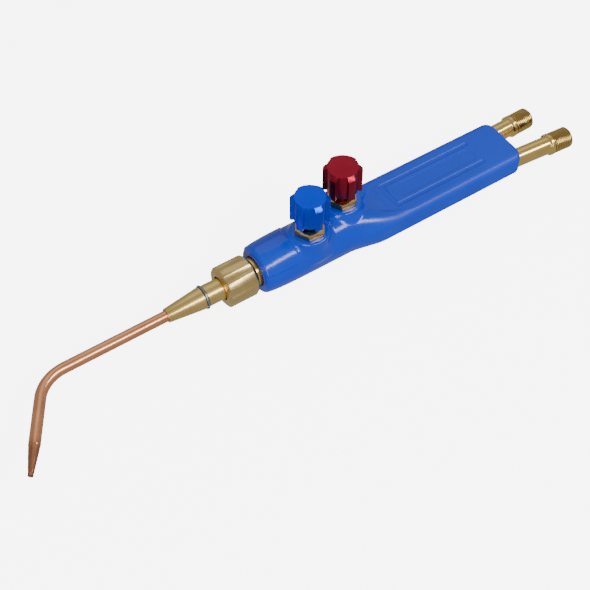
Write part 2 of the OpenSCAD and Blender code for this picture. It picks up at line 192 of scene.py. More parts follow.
def ring_stack(name, rings, angles, place, look, body, stands_for, closed=False):
    """Skins a stack of rings. Each ring is (height, radius), as numbers or one value per angle."""
    count = len(angles)
    heights = np.array([np.broadcast_to(ring[0], count) for ring in rings], float)
    radii = np.array([np.broadcast_to(ring[1], count) for ring in rings], float)
    bar = np.stack([heights, radii * np.cos(angles), radii * np.sin(angles)], axis=-1)
    bar = bar.reshape(-1, 3)
    index = np.arange(len(rings) * count).reshape(len(rings), count)
    below = index if closed else index[:-1]
    above = np.roll(index, -1, axis=0) if closed else index[1:]
    quads = np.stack([below, np.roll(below, -1, axis=1), np.roll(above, -1, axis=1), above], axis=-1)
    return new_piece(name, place(bar), quads.reshape(-1, 4), look, body, stands_for, bar)


def softened(outline, radius, closed):
    """Rounds the corners of an outline of 2-D points with short curves."""
    points = [Vector(point) for point in outline]
    last = len(points) - 1
    soft = []
    for i, corner in enumerate(points):
        before = points[i - 1] - corner
        after = points[(i + 1) % len(points)] - corner
        is_end = not closed and i in (0, last)
        if is_end or before.length < 1e-6 or after.length < 1e-6:
            soft.append(corner)
            continue
        opening = before.angle(after)
        if opening > math.radians(162):
            soft.append(corner)
            continue
        reach = min(radius / math.tan(opening / 2), 0.45 * before.length, 0.45 * after.length)
        start = corner + before.normalized() * reach
        end = corner + after.normalized() * reach
        for t in np.linspace(0, 1, 5):
            soft.append(start * (1 - t) ** 2 + corner * 2 * t * (1 - t) + end * t * t)
    return [tuple(point) for point in soft]


def finer(profile, step, closed):
    """Splits the long segments of a profile, so that it can bend or carry a thread."""
    fine = []
    following = profile[1:] + (profile[:1] if closed else [])
    for start, end in zip(profile, following):
        pieces = max(1, int(math.ceil(math.dist(start, end) / step)))
        for k in range(pieces):
            t = k / pieces
            fine.append((start[0] + (end[0] - start[0]) * t, start[1] + (end[1] - start[1]) * t))
    if not closed:
        fine.append(profile[-1])
    return fine


def thread_depth(s, angles, thread):
    """How deep a thread's groove is at height s: thread is (start, end, pitch, depth, hand)."""
    start, end, pitch, depth, hand = thread
    phase = s / pitch - hand * angles / (2 * math.pi)
    groove = np.abs(2 * np.mod(phase, 1) - 1)
    fade = np.clip((s - start) / (0.5 * pitch), 0, 1) * np.clip((end - s) / (0.5 * pitch), 0, 1)
    return depth * fade * groove


def turned(name, profile, place, look, body, stands_for, edge=0.25, closed=True,
           step=None, thread=None, outer=0, segments=SEGMENTS):
    """A turned piece from a profile of (height, radius), with softened edges and an optional thread."""
    profile = softened(profile, edge, closed)
    if step:
        profile = finer(profile, step, closed)
    angles = np.linspace(0, 2 * math.pi, segments, endpoint=False)
    rings = []
    for s, r in profile:
        radius = np.full(segments, r)
        if thread and abs(r) > outer:
            radius = radius - thread_depth(s, angles, thread)
        rings.append((s, radius))
    return ring_stack(name, rings, angles, place, look, body, stands_for, closed)


# ---------------------------------------------------------------- materials

def socket(tree, kind, output, settings=None, **inputs):
    """Adds a node, sets or links its inputs, and returns one of its outputs."""
    node = tree.nodes.new(kind)
    for key, value in (settings or {}).items():
        setattr(node, key, value)
    for key, value in inputs.items():
        target = node.inputs[key.replace("_", " ")]
        if isinstance(value, bpy.types.NodeSocket):
            tree.links.new(value, target)
        else:
            target.default_value = value
    return node.outputs[output]


def coordinates(tree, straight):
    """Coordinates in millimetres: along the straight bar, or in the shared frame."""
    if straight:
        node = tree.nodes.new("ShaderNodeAttribute")
        node.attribute_name = STRAIGHT
        return node.outputs["Vector"]
    node = tree.nodes.new("ShaderNodeTexCoord")
    return socket(tree, "ShaderNodeVectorMath", 0, {"operation": "SCALE"},
                  Vector=node.outputs["Object"], Scale=1 / MM)


def noise(tree, place, stretch, detail=3.0):
    """Noise whose features are 1 / stretch millimetres long in each direction."""
    moved = socket(tree, "ShaderNodeMapping", 0, Vector=place, Scale=stretch)
    return socket(tree, "ShaderNodeTexNoise", 0, Vector=moved, Scale=1.0, Detail=detail)


def between(tree, value, low, high, low_in=0.3, high_in=0.7):
    """Maps noise to a range of plain numbers."""
    return socket(tree, "ShaderNodeMapRange", 0, Value=value, From_Min=low_in, From_Max=high_in,
                  To_Min=low, To_Max=high)


def combined(tree, operation, first, second):
    """One number from two sockets, by a Math node."""
    node = tree.nodes.new("ShaderNodeMath")
    node.operation = operation
    tree.links.new(first, node.inputs[0])
    tree.links.new(second, node.inputs[1])
    return node.outputs[0]


def mixed(tree, factor, first, second):
    """Mixes two colours, each an RGB triple or a socket."""
    node = tree.nodes.new("ShaderNodeMix")
    node.data_type = "RGBA"
    tree.links.new(factor, node.inputs["Factor"])
    for name, colour in (("A", first), ("B", second)):
        target = next(i for i in node.inputs if i.name == name and i.type == "RGBA")
        if isinstance(colour, bpy.types.NodeSocket):
            tree.links.new(colour, target)
        else:
            target.default_value = (*colour, 1)
    return next(o for o in node.outputs if o.type == "RGBA")


def surface(name, light, dark, metallic, smooth, rough, grain, bump, patch=(0.12, 0.12, 0.12),
            straight=True):
    """A material with patchy colour, and a grain that changes its roughness and its relief."""
    look = bpy.data.materials.new(name)
    look.use_nodes = True
    tree = look.node_tree
    shader = tree.nodes["Principled BSDF"]
    place = coordinates(tree, straight)
    patches = between(tree, noise(tree, place, patch), 0, 1)
    marks = noise(tree, place, grain)
    tree.links.new(mixed(tree, patches, light, dark), shader.inputs["Base Color"])
    tree.links.new(between(tree, marks, smooth, rough), shader.inputs["Roughness"])
    relief = socket(tree, "ShaderNodeBump", 0, Height=marks, Strength=1.0, Distance=bump * MM)
    tree.links.new(relief, shader.inputs["Normal"])
    shader.inputs["Metallic"].default_value = metallic
    return look


TURNED = (5.0, 0.12, 0.12)   # tool marks run round the bar
DRAWN = (0.05, 2.2, 2.2)     # drawing lines run along the bar
EVEN = (1.2, 1.2, 1.2)

enamel = surface("blue_enamel", (0.002, 0.046, 0.56), (0.001, 0.038, 0.52), 0.0, 0.12, 0.18,
                 (0.45, 0.45, 0.45), 0.03, patch=(0.03, 0.03, 0.03), straight=False)
brass = surface("turned_brass", (0.84, 0.60, 0.21), (0.77, 0.54, 0.18), 1.0, 0.24, 0.30,
                TURNED, 0.0012)
nut_brass = surface("nut_brass", (0.78, 0.57, 0.23), (0.66, 0.47, 0.18), 1.0, 0.2, 0.34,
                    (0.35, 1.6, 1.6), 0.012)
bright_brass = surface("bright_brass", (0.90, 0.60, 0.15), (0.82, 0.53, 0.12), 1.0, 0.12, 0.22,
                       TURNED, 0.002)
copper = surface("drawn_copper", (0.93, 0.43, 0.22), (0.85, 0.37, 0.18), 1.0, 0.16, 0.34,
                 DRAWN, 0.012)
blue_anodised = surface("blue_anodised", (0.004, 0.075, 0.90), (0.003, 0.065, 0.82), 1.0, 0.28, 0.38,
                        (0.6, 0.6, 0.6), 0.003)
red_anodised = surface("red_anodised", (0.36, 0.018, 0.04), (0.31, 0.014, 0.034), 1.0, 0.28, 0.38,
                       (0.6, 0.6, 0.6), 0.003)
steel = surface("steel", (0.36, 0.37, 0.38), (0.28, 0.29, 0.30), 1.0, 0.2, 0.34, EVEN, 0.003,
                straight=False)
brown_copper = surface("annealed_tube", (0.50, 0.26, 0.16), (0.38, 0.19, 0.12), 1.0, 0.3, 0.45,
                       EVEN, 0.004, straight=False)
plain_brass = surface("plain_brass", (0.50, 0.36, 0.14), (0.42, 0.30, 0.11), 1.0, 0.28, 0.4,
                      EVEN, 0.003, straight=False)
packing = surface("fibre_packing", (0.74, 0.72, 0.66), (0.62, 0.6, 0.55), 0.0, 0.55, 0.75,
                  (2.0, 2.0, 2.0), 0.02, straight=False)
rubber = surface("black_rubber", (0.02, 0.02, 0.022), (0.012, 0.012, 0.013), 0.0, 0.45, 0.65,
                 EVEN, 0.006, straight=False)
# A plain black look for the ring in the union's groove, which is painted shade for that groove.
groove_shade_look = surface("groove_shade_black", (0.02, 0.02, 0.022), (0.012, 0.012, 0.013), 0.0, 0.3,
                          0.5, EVEN, 0.006)


def hand_worn(look, start, end, extra):
    """Dulls a look along the torch, where the hand holds it."""
    tree = look.node_tree
    rough = tree.nodes["Principled BSDF"].inputs["Roughness"]
    along = socket(tree, "ShaderNodeSeparateXYZ", 0, Vector=coordinates(tree, False))
    wear = between(tree, along, 0, extra, start, end)
    tree.links.new(combined(tree, "ADD", rough.links[0].from_socket, wear), rough)


def brass_with_root_shade(name, thread_x, root_r, crest_r):
    """Bright brass with painted shade in the roots of its hose thread, past thread_x."""
    look = surface(name, (0.90, 0.64, 0.21), (0.82, 0.57, 0.18), 1.0, 0.14, 0.2, TURNED, 0.0005)
    tree = look.node_tree
    colour = tree.nodes["Principled BSDF"].inputs["Base Color"]
    place = coordinates(tree, True)
    along = socket(tree, "ShaderNodeSeparateXYZ", 0, Vector=place)
    flat = socket(tree, "ShaderNodeMapping", 0, Vector=place, Scale=(0, 1, 1))
    radius = socket(tree, "ShaderNodeVectorMath", 1, {"operation": "LENGTH"}, Vector=flat)
    # Painted shade: this mask is 1 at the thread's roots and 0 at its crests, and darkens the roots as
    # if they lay in shadow.
    depth = between(tree, radius, 1, 0, root_r, crest_r)
    on_thread = between(tree, along, 0, 1, thread_x - 0.3, thread_x)
    root_shade_mask = combined(tree, "MULTIPLY", depth, on_thread)
    # Painted shade colour for the roots of the thread.
    painted_root_shade = (0.13, 0.07, 0.025)
    tree.links.new(mixed(tree, root_shade_mask, colour.links[0].from_socket, painted_root_shade), colour)
    return look


# ---------------------------------------------------------------- the body casting

def smooth_step(value, start, end):
    t = np.clip((value - start) / (end - start), 0, 1)
    return t * t * (3 - 2 * t)


def join(a, b, fillet):
    """The union of two solids, with a round fillet."""
    reach = np.sqrt(np.maximum(fillet - a, 0) ** 2 + np.maximum(fillet - b, 0) ** 2)
    return np.maximum(fillet, np.minimum(a, b)) - reach


def overlap(a, b, edge):
    """What two solids share, with a rounded edge."""
    reach = np.sqrt(np.maximum(edge + a, 0) ** 2 + np.maximum(edge + b, 0) ** 2)
    return np.minimum(-edge, np.maximum(a, b)) + reach


def section(y, z, half_width, top, bottom, upper_r, lower_r):
    """A box section with its own corner radii above and below."""
    middle = (top + bottom) / 2
    half_height = (top - bottom) / 2
    corner = np.where(z > middle, upper_r, lower_r)
    across = np.abs(y) - half_width + corner
    upright = np.abs(z - middle) - half_height + corner
    outside = np.hypot(np.maximum(across, 0), np.maximum(upright, 0))
    return outside + np.minimum(np.maximum(across, upright), 0) - corner


GROOVE_X = GRIP_X + 14
GROOVE_L = 69.2
GROOVE_W = 3.6
GROOVE_DEPTH = 0.8
GROOVE_Y = 9.1
PANEL_X = GROOVE_X + 4.5
PANEL_L = 62.5
PANEL_HALF_W = 5.3
PANEL_R = 5.0
PANEL_DEPTH = 0.4
RIDGE_H = 0.35
RIDGE_HALF_W = 0.45
RIDGES = (
    ((-3.5, 5.5), (3.0, 3.6), (6.5, 1.0), (8.0, -2.0), (7.5, -6.0)),
    ((2.5, 10.0), (7.0, 10.2), (9.1, 9.0), (9.4, 6.5), (8.5, 3.6)),
)
EDGE_SOFT = 0.3


def capsule(x, y, start, end, half_width):
    """Distance to a bar with round ends, drawn on the top of the grip."""
    start, end = np.array(start, float), np.array(end, float)
    run = end - start
    t = np.clip(((x - start[0]) * run[0] + (y - start[1]) * run[1]) / (run @ run), 0, 1)
    return np.hypot(x - start[0] - t * run[0], y - start[1] - t * run[1]) - half_width


def raised(distance, height):
    """Relief of the given height inside an outline, with soft edges."""
    return height * (1 - smooth_step(distance, -EDGE_SOFT, EDGE_SOFT))


def trench(distance):
    """Relief of a groove that is deepest along its centre line."""
    half_w = GROOVE_W / 2
    return -GROOVE_DEPTH * (1 - smooth_step(distance, 0.5 * half_w, half_w))


def ridge(x, y, points):
    """Distance to a curved ridge, through points measured from the start of the grip."""
    spots = [(GRIP_X + along, across) for along, across in points]
    nearest = np.inf
    for start, end in zip(spots, spots[1:]):
        nearest = np.minimum(nearest, capsule(x, y, start, end, RIDGE_HALF_W))
    return nearest


def top_relief(x, y):
    """The grooves, the sunk panel between them and the two ridges by the thumb rest."""
    rear_x = GROOVE_X + GROOVE_L - GROOVE_W / 2
    sides = capsule(x, np.abs(y), (GROOVE_X, GROOVE_Y), (rear_x, GROOVE_Y), 0)
    cross = capsule(x, y, (GROOVE_X, -GROOVE_Y), (GROOVE_X, GROOVE_Y), 0)
    px = np.abs(x - PANEL_X - PANEL_L / 2) - PANEL_L / 2 + PANEL_R
    py = np.abs(y) - PANEL_HALF_W + PANEL_R
    panel = np.hypot(np.maximum(px, 0), np.maximum(py, 0)) + np.minimum(np.maximum(px, py), 0)
    ridges = np.minimum(ridge(x, y, RIDGES[0]), ridge(x, y, RIDGES[1]))
    return (trench(np.minimum(sides, cross)) - raised(panel - PANEL_R, PANEL_DEPTH)
            + raised(ridges, RIDGE_H))


def casting_skin(x, y, z):
    """The barrel, the neck and the grip as one skin, before the bosses and the bores."""
    shoulder_l, end_corner = 12, 5.0
    barrel_r, front_taper, taper_l = 16.45, 1.7, 8
    grip_front_half, grip_taper = 19.6, 0.3
    grip_upper_r, grip_lower_r = 5.5, 6.0
    widen = smooth_step(x, NECK_X, GRIP_X)
    flatten = smooth_step(x, NECK_X, GRIP_X + shoulder_l)
    girth = barrel_r - front_taper * np.exp(-(x - FACE_X) / taper_l)
    grip_half = grip_front_half - grip_taper * np.clip((x - GRIP_X) / (REAR_X - GRIP_X), 0, 1)
    tuck = np.clip(x - (REAR_X - end_corner), 0, 0.97 * end_corner)
    grip_half = grip_half - end_corner + np.sqrt(end_corner ** 2 - tuck ** 2)
    half_width = girth + (grip_half - girth) * widen
    top = girth + (GRIP_TOP - girth) * flatten
    bottom = -girth + (GRIP_BOTTOM + girth) * widen
    upper_r = girth + (grip_upper_r - girth) * flatten
    lower_r = girth + (grip_lower_r - girth) * widen
    lift = top_relief(x, y) * smooth_step(z, 0, 4)
    skin = section(y, z - lift, half_width, top, bottom, upper_r, lower_r)
    skin = skin - pad_relief(x, y, z)
    skin = overlap(skin, FACE_X - x, 2.0)
    skin = overlap(skin, x - REAR_X, 1.2)
    return overlap(skin, -thumb_scoop(x, y, z), 1.4)


def pad_relief(x, y, z):
    """The plain raised pad over the front of the barrel."""
    height, lean, soft = 0.6, 0.67, 0.35
    lower_edge, upper_edge = 24.2, 25.8
    rear_x, rear_z = 17.3, 5.7
    rise = np.degrees(np.arctan2(z, np.abs(y)))
    sides = smooth_step(rise, lower_edge, upper_edge)
    front = smooth_step(x, FACE_X + 0.4, FACE_X + 1.6)
    slope = rear_x - lean * (z - rear_z)
    rear = 1 - smooth_step(x, slope - soft, slope + soft)
    return height * sides * front * rear


def thumb_scoop(x, y, z):
    """The flat thumb rest, whose front end is rounded like a parabola."""
    open_rate = 10.6
    front_end = FUEL_AT[0] + 14.0
    outline = (front_end + y * y / open_rate - x) / np.sqrt(1 + (2 * y / open_rate) ** 2)
    return overlap(outline, GRIP_TOP - z, 1.0)


def boss(x, y, z, at):
    """A valve boss with a little draft, fading into the barrel below."""
    reach = np.hypot(x - at[0], y - at[1])
    boss_r, draft, foot_z = 12.35, 0.03, 2.0
    side = reach - boss_r - draft * (BOSS_TOP - z)
    return overlap(overlap(side, z - BOSS_TOP, 1.6), foot_z - z, 2.5)


def bar_hole(x, y, z, start, end, radius):
    """A round hole from start to end."""
    start, end = np.array(start, float), np.array(end, float)
    length = np.linalg.norm(end - start)
    along = (end - start) / length
    s = (x - start[0]) * along[0] + (y - start[1]) * along[1] + (z - start[2]) * along[2]
    dx = x - start[0] - s * along[0]
    dy = y - start[1] - s * along[1]
    dz = z - start[2] - s * along[2]
    return np.maximum(np.sqrt(dx * dx + dy * dy + dz * dz) - radius, np.abs(s - length / 2) - length / 2)


def inlet_line(gas):
    """Start at the rear face, direction, and length of the line from the valve's port to its inlet."""
    at = OXYGEN_AT if gas == "oxygen" else FUEL_AT
    sign = -1 if gas == "oxygen" else 1
    start = np.array([REAR_X, sign * INLET_Y, INLET_Z])
    run = start - np.array([at[0], at[1], PORT_Z])
    return start, run / np.linalg.norm(run), np.linalg.norm(run)


def nearest_of(holes):
    nearest = holes[0]
    for hole in holes[1:]:
        nearest = np.minimum(nearest, hole)
    return nearest


def gas_ducts(x, y, z):
    """The bores inside the casting, from each valve to its inlet."""
    holes = []
    for gas in ("oxygen", "fuel"):
        start, along, length = inlet_line(gas)
        inner_end = start - (length - 2 * POCKET_R) * along
        holes.append(bar_hole(x, y, z, inner_end, start, DUCT_R + GAP))
    return nearest_of(holes)


def openings(x, y, z):
    """The holes that break the surface: union recess, valve pockets and inlets."""
    beyond = 3
    recess_end = NOSE_HIGH[0] + GAP
    holes = [bar_hole(x, y, z, (FACE_X - beyond, 0, 0), (recess_end, 0, 0), COLLAR_R + 5 * GAP)]
    for gas, at in (("oxygen", OXYGEN_AT), ("fuel", FUEL_AT)):
        ledge = corners(gas + "_packing")[0][2]
        floor = corners(gas + "_seat")[0][2]
        centre = (at[0], at[1])
        holes.append(bar_hole(x, y, z, (*centre, floor - GAP), (*centre, ledge), POCKET_R + GAP))
        holes.append(bar_hole(x, y, z, (*centre, ledge), (*centre, BOSS_TOP + beyond), GLAND_R + GAP))
        start, along, _ = inlet_line(gas)
        inner_end = start - STEM_DEPTH * along
        holes.append(bar_hole(x, y, z, inner_end, start + beyond * along, STEM_R + 2 * GAP))
    return nearest_of(holes)


def casting(points):
    """Signed distance to the casting's surface, below zero in the metal."""
    x, y, z = points[..., 0], points[..., 1], points[..., 2]
    solid = casting_skin(x, y, z)
    bosses = np.minimum(boss(x, y, z, OXYGEN_AT), boss(x, y, z, FUEL_AT))
    boss_fillet, rim_round = 3.5, 0.5
    solid = join(solid, bosses, boss_fillet)
    solid = overlap(solid, -openings(x, y, z), rim_round)
    return np.maximum(solid, -gas_ducts(x, y, z))


CORNER_STEPS = np.array([(i, j, k) for i in (0, 1) for j in (0, 1) for k in (0, 1)])


def surface_net(field, low, step):
    """Points and quads on the zero surface of a field sampled on a grid."""
    inside = field < 0
    shape = np.array(field.shape) - 1
    count = np.zeros(shape, int)
    for i, j, k in CORNER_STEPS:
        count += inside[i:shape[0] + i, j:shape[1] + j, k:shape[2] + k]
    cells = np.argwhere((count > 0) & (count < 8))
    values = np.stack([field[tuple((cells + step3).T)] for step3 in CORNER_STEPS], axis=1)
    total = np.zeros((len(cells), 3))
    crossings = np.zeros(len(cells))
    for a in range(8):
        for b in range(a + 1, 8):
            if np.abs(CORNER_STEPS[a] - CORNER_STEPS[b]).sum() != 1:
                continue
            va, vb = values[:, a], values[:, b]
            crossed = (va < 0) != (vb < 0)
            t = np.where(crossed, va / np.where(crossed, va - vb, 1), 0)
            spot = CORNER_STEPS[a] + t[:, None] * (CORNER_STEPS[b] - CORNER_STEPS[a])
            total += spot * crossed[:, None]
            crossings += crossed
    points = low + step * (cells + total / crossings[:, None])
    number = -np.ones(shape, int)
    number[tuple(cells.T)] = np.arange(len(cells))
    quads = []
    for axis in range(3):
        u, v = (axis + 1) % 3, (axis + 2) % 3
        first = np.take(inside, range(shape[axis]), axis=axis)
        second = np.take(inside, range(1, shape[axis] + 1), axis=axis)
        edges = np.argwhere(first != second)
        edges = edges[(edges[:, u] > 0) & (edges[:, v] > 0)]
        back_u, back_v = np.eye(3, dtype=int)[u], np.eye(3, dtype=int)[v]
        loop = [edges, edges - back_u, edges - back_u - back_v, edges - back_v]
        quad = np.stack([number[tuple(cell.T)] for cell in loop], axis=1)
        outward = first[tuple(edges.T)]
        quads.append(np.where(outward[:, None], quad, quad[:, ::-1]))
    return points, np.concatenate(quads)


def slope_at(points, reach=0.04):
    """The field's gradient at each point."""
    steps = np.eye(3) * reach
    return np.stack([casting(points + step) - casting(points - step) for step in steps],
                    axis=-1) / (2 * reach)


def settle(points, rounds, limit):
    """Moves points along the gradient until they lie on the surface."""
    for _ in range(rounds):
        slope = slope_at(points)
        size = np.maximum((slope ** 2).sum(-1), 0.2)
        move = -casting(points)[:, None] * slope / size[:, None]
        length = np.linalg.norm(move, axis=1, keepdims=True)
        points = points + move * np.minimum(1, limit / np.maximum(length, 1e-9))
    return points


def relax(points, quads):
    """Evens out the spacing of the points."""
    total = np.zeros_like(points)
    count = np.zeros(len(points))
    for a in range(4):
        b = (a + 1) % 4
        for start, end in ((a, b), (b, a)):
            np.add.at(total, quads[:, start], points[quads[:, end]])
            np.add.at(count, quads[:, start], 1)
    return points + 0.5 * (total / count[:, None] - points)


def make_casting():
    step = 0.55
    margin = 2.2
    low = BODY_LOW - margin
    high = BODY_HIGH + margin
    axes = [np.arange(low[i], high[i] + step, step) for i in range(3)]
    grid = np.stack(np.meshgrid(*axes, indexing="ij"), axis=-1)
    points, quads = surface_net(casting(grid), low, step)
    for _ in range(2):
        points = settle(relax(points, quads), 2, 0.5 * step)
    points = settle(points, 2, 0.3 * step)
    normals = slope_at(points)
    normals /= np.linalg.norm(normals, axis=1, keepdims=True)
    return new_piece("body_casting", points, quads, enamel, "body", ["torch_body"],
                     normals=normals)


# ---------------------------------------------------------------- knobs, hexagons and the nut

def to_polar(outline):
    angles = np.array([math.atan2(y, x) for x, y in outline])
    radii = np.array([math.hypot(x, y) for x, y in outline])
    order = np.argsort(np.mod(angles, 2 * math.pi))
    return np.mod(angles, 2 * math.pi)[order], radii[order]


def arc(radius, start, end, count):
    """Points on an arc, from one angle in degrees to another."""
    return [(radius * math.cos(math.radians(a)), radius * math.sin(math.radians(a)))
            for a in np.linspace(start, end, count)]


def knob_outline(core_r, outer_r):
    """Six lobes with nearly radial walls and round outer faces."""
    outline = []
    for lobe in range(6):
        middle = 24 + 60 * lobe
        outline += arc(outer_r, middle - 11.2, middle + 11.2, 7)
        outline += arc(core_r, middle + 13.4, middle + 46.6, 11)
    return to_polar(softened(outline, 0.35, True))


def knob(gas, look):
    low, high = corners(gas + "_knob")
    at = valve_centre(gas)
    outer_r, core_r, bore_r = 12.1, 9.8, SPINDLE_R
    edge, top_edge = 0.35, 0.3
    angles, radii = knob_outline(core_r, outer_r)
    crown = high[2] - np.maximum(radii - core_r, 0)
    inner = np.minimum(radii, core_r)
    roof = low[2] + 12
    rings = [
        (roof, 0.0), (roof, bore_r), (low[2] + 0.3, bore_r), (low[2], bore_r + 0.3),
        (low[2], radii - edge), (low[2] + 0.3 * edge, radii - 0.3 * edge), (low[2] + edge, radii),
        (crown - top_edge, radii), (crown - 0.25 * top_edge, radii - 0.25 * top_edge),
        (crown, radii - top_edge),
        (high[2] - 0.02, inner - top_edge), (high[2], inner - 2 * top_edge), (high[2], 0.0),
    ]
    return ring_stack(gas + "_knob_turned", rings, angles, on_valve(at), look, gas + "_stem",
                      [gas + "_knob"])


def gland_nut(gas):
    low, high = corners(gas + "_gland_nut")
    at = valve_centre(gas)
    flat_r, bevel = HEX_FLAT_R, 1.2
    corner_r = flat_r / math.cos(math.radians(30))
    outline = []
    for side in range(6):
        start, end = HEX_TURN + 60 * side, HEX_TURN + 60 * (side + 1)
        a = Vector((corner_r * math.cos(math.radians(start)), corner_r * math.sin(math.radians(start))))
        b = Vector((corner_r * math.cos(math.radians(end)), corner_r * math.sin(math.radians(end))))
        outline += [tuple(a.lerp(b, t)) for t in np.linspace(0, 1, 13)[:-1]]
    angles, radii = to_polar(softened(outline, 0.25, True))
    chamfer_r = corner_r - 2 * bevel
    crown = high[2] - np.maximum(radii - chamfer_r, 0) / 2
    foot = high[2] - HEX_H
    foot_crown = foot + np.maximum(radii - flat_r, 0) / 2
    bore_r = 3.1
    rings = [
        (low[2], bore_r), (low[2], GLAND_R), (foot, GLAND_R), (foot, np.full(len(radii), flat_r) - 0.2),
        (foot_crown, radii), (crown, radii), (crown + 0.06, radii - 0.15),
        (high[2] - 0.04, chamfer_r + 0.1), (high[2], chamfer_r - 0.15),
        (high[2], bore_r + 0.5), (high[2] - 0.5, bore_r),
    ]
    return ring_stack(gas + "_gland_hex", rings, angles, on_valve(at), bright_brass, "body",
                      [gas + "_gland_nut"], closed=True)


def union_nut():
    front, rear = NUT_LOW[0], NUT_HIGH[0]
    outer_r = NUT_HIGH[2]
    ribs, cutter_r, depth, bevel = 8, 7.0, 0.8, 1.3
    angles = np.linspace(0, 2 * math.pi, 24 * ribs, endpoint=False)
    reach = outer_r + cutter_r - depth
    swing = np.mod(angles, 2 * math.pi / ribs) - math.pi / ribs
    inside = np.maximum(cutter_r ** 2 - (reach * np.sin(swing)) ** 2, 0)
    flute = reach * np.cos(swing) - np.sqrt(inside)
    in_flute = np.abs(np.sin(swing)) * reach < cutter_r
    radii = np.where(in_flute, np.minimum(flute, outer_r), outer_r)
    front_r = outer_r - 2 * bevel
    front_edge = front + bevel * (radii - front_r) / (2 * bevel)
    rear_edge = rear - (radii - (outer_r - bevel))
    opening_r, thread_r = 7.6, 10.05
    shoulder = front + 4.7
    rings = [
        (front + 0.5, opening_r), (front, opening_r + 0.5),
        (front, front_r - 0.2), (front + 0.06, front_r + 0.05),
        (front_edge, radii - 0.1), (front_edge + 0.25, radii),
        (rear_edge - 0.25, radii), (rear_edge, radii - 0.1),
        (rear - 0.05, outer_r - bevel + 0.1), (rear, outer_r - bevel - 0.15),
        (rear, thread_r + 0.6), (rear - 0.6, thread_r),
        (shoulder, thread_r), (shoulder, opening_r),
    ]
    return ring_stack("union_nut_fluted", rings, angles, ON_X, nut_brass, "union_nut",
                      ["union_nut"], closed=True)


# ---------------------------------------------------------------- turned fittings

def nose():
    """The body's half of the union: a threaded nose and a plain collar."""
    front, rear = NOSE_LOW[0], NOSE_HIGH[0]
    bore_r, inner_r = 6.05, 4.05
    tail_end, tip_end = front + 13.5, front + 22.5
    thread_end, groove_end, groove_r = UNION_THREAD_END, UNION_THREAD_END + 2.95, COLLAR_R - 1.6
    profile = [
        (front, bore_r), (front, UNION_THREAD_R - 1), (front + 1, UNION_THREAD_R),
        (thread_end, UNION_THREAD_R), (thread_end, groove_r), (groove_end, groove_r),
        (groove_end, COLLAR_R), (rear, COLLAR_R), (rear, 0.0), (tip_end, 0.0),
        (tip_end, inner_r), (tail_end, inner_r), (tail_end, bore_r),
    ]
    thread = (front + 0.6, thread_end - 0.6, UNION_PITCH, 0.75, 1)
    return turned("union_nose_turned", profile, ON_X, bright_brass, "body", ["union_nose"],
                  edge=0.2, step=0.2, outer=COLLAR_R + 0.1, thread=thread)


def groove_shade_ring():
    """A black ring in the groove between the union's thread and its collar: a dark piece put where the
    groove lies in shade, so it is painted shade.
    """
    middle, centre_r, wire = -15.9, 8.75, 0.6
    circle = [(middle + 1.1 * wire * math.cos(a), centre_r + wire * math.sin(a))
              for a in np.linspace(0, 2 * math.pi, 20, endpoint=False)]
    return turned("union_groove_shade_ring", circle, ON_X, groove_shade_look, "body", [], edge=0.01)


def mixer():
    """The mixer's cone and plain shank, and the tail that runs back into the nose."""
    cone_x, tail_x = MIXER_LOW[0], MIXER_HIGH[0]
    ring_x = (RING_LOW[0] + RING_HIGH[0]) / 2
    shank_r, cone_r, nose_r = 6.85, 7.15, 4.5
    flange_x, flange_r = NUT_LOW[0] + 4.8, MIXER_HIGH[2]
    tail_r, tip_r, bore_r, socket_r = 6.0, 4.0, 1.3, TUBE_R + 0.07
    tail_end = tail_x - 8
    wire, groove_r = 1.0, 6.1
    profile = [
        (cone_x + 0.5, socket_r), (cone_x, socket_r + 0.4), (cone_x, nose_r),
        (ring_x - wire - 0.25, cone_r), (ring_x - wire, cone_r - 0.3), (ring_x - wire, groove_r),
        (ring_x + wire, groove_r), (ring_x + wire, shank_r), (flange_x, shank_r),
        (flange_x, flange_r), (flange_x + 2.6, flange_r), (flange_x + 2.6, tail_r),
    ]
    for ring, radius, width in (("large_oring", tail_r, 1.5), ("small_oring", tip_r, 1.1)):
        ring_low, ring_high = corners(ring)
        middle = (ring_low[0] + ring_high[0]) / 2
        if ring == "small_oring":
            profile += [(tail_end - 5, tail_r), (tail_end - 5, tail_r - 1.4),
                        (tail_end, tail_r - 1.4), (tail_end, tip_r)]
        floor_r = radius - width + 0.05
        profile += [(middle - width / 2, radius), (middle - width / 2, floor_r),
                    (middle + width / 2, floor_r), (middle + width / 2, radius)]
    profile += [(tail_x, tip_r), (tail_x, bore_r), (cone_x + SOCKET_L, bore_r),
                (cone_x + SOCKET_L, socket_r)]
    return turned("mixer_turned", profile, ON_X, brass, "mixer_unit", ["mixer"], edge=0.15)


def retaining_ring():
    """A round wire ring in the groove behind the cone."""
    ring_x = (RING_LOW[0] + RING_HIGH[0]) / 2
    wire = (RING_HIGH[0] - RING_LOW[0]) / 2
    centre_r = RING_HIGH[2] - wire + 0.2
    circle = [(ring_x + wire * math.cos(a), centre_r + wire * math.sin(a))
              for a in np.linspace(0, 2 * math.pi, 20, endpoint=False)]
    return turned("retaining_ring_wire", circle, ON_X, steel, "mixer_unit",
                  ["retaining_ring"], edge=0.01)


